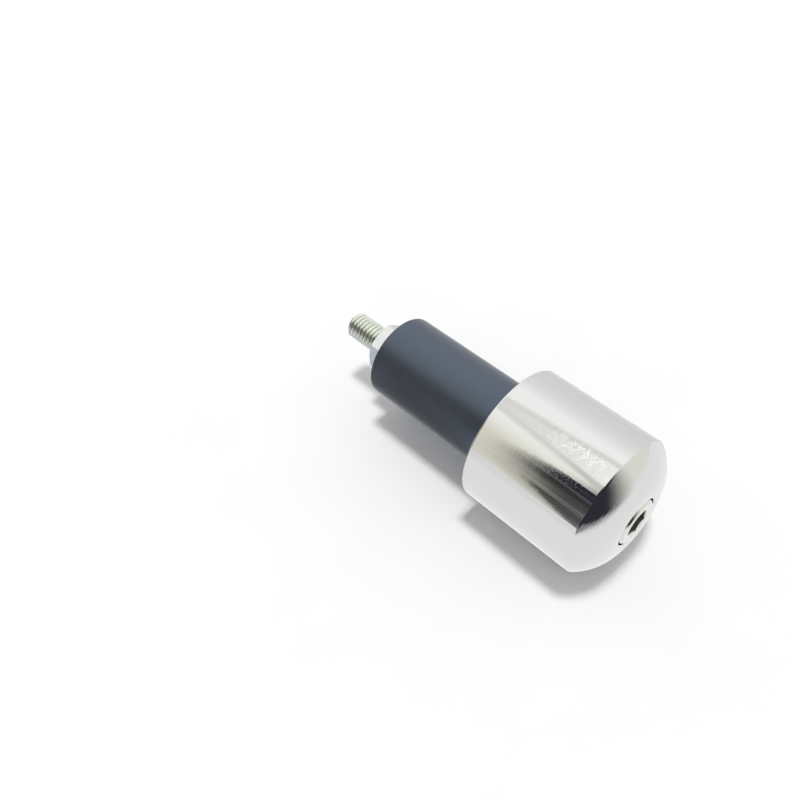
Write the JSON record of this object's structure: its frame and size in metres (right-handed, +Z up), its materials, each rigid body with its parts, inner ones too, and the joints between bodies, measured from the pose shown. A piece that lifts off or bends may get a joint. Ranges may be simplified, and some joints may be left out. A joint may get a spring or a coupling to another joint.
{
  "type": "bar end weight",
  "caption": "Turned chrome handlebar end weight with a domed nose, on a rubber expander plug that a through socket screw and hex nut squeeze to grip inside the bar tube.",
  "frame": {"origin": "on the axis, at the weight's inboard face, where the end of the handlebar tube meets it", "axes": "+X along the axis, outboard from the bar; +Z up, lying as on a bench and as fixed in a level bar; +Y to complete a right-handed frame"},
  "size_m": [0.0773, 0.03, 0.03],
  "materials": {
    "chrome": "bright chrome plating on steel, with fine scuffs",
    "rubber": "matt moulded rubber",
    "screw_zinc": "bright zinc plating",
    "nut_zinc": "bright zinc plating"
  },
  "bodies": {
    "weight": {"end_weight": "chrome", "expander_sleeve": "rubber"},
    "screw": {"socket_screw": "screw_zinc"},
    "nut": {"hex_nut": "nut_zinc"}
  },
  "joints": [
    {"name": "screw_turn", "type": "hinge", "parent": "weight", "child": "screw", "pos_m": [0, 0, 0], "axis": [-1, 0, 0], "range_deg": [0, 1080]},
    {"name": "nut_travel", "type": "slide", "parent": "weight", "child": "nut", "axis": [1, 0, 0], "range_m": [0, 0.003], "deforming": ["expander_sleeve"]}
  ],
  "couplings": [
    {"joint": "nut_travel", "follows": "screw_turn", "m_per_rad": 0.00015915}
  ]
}
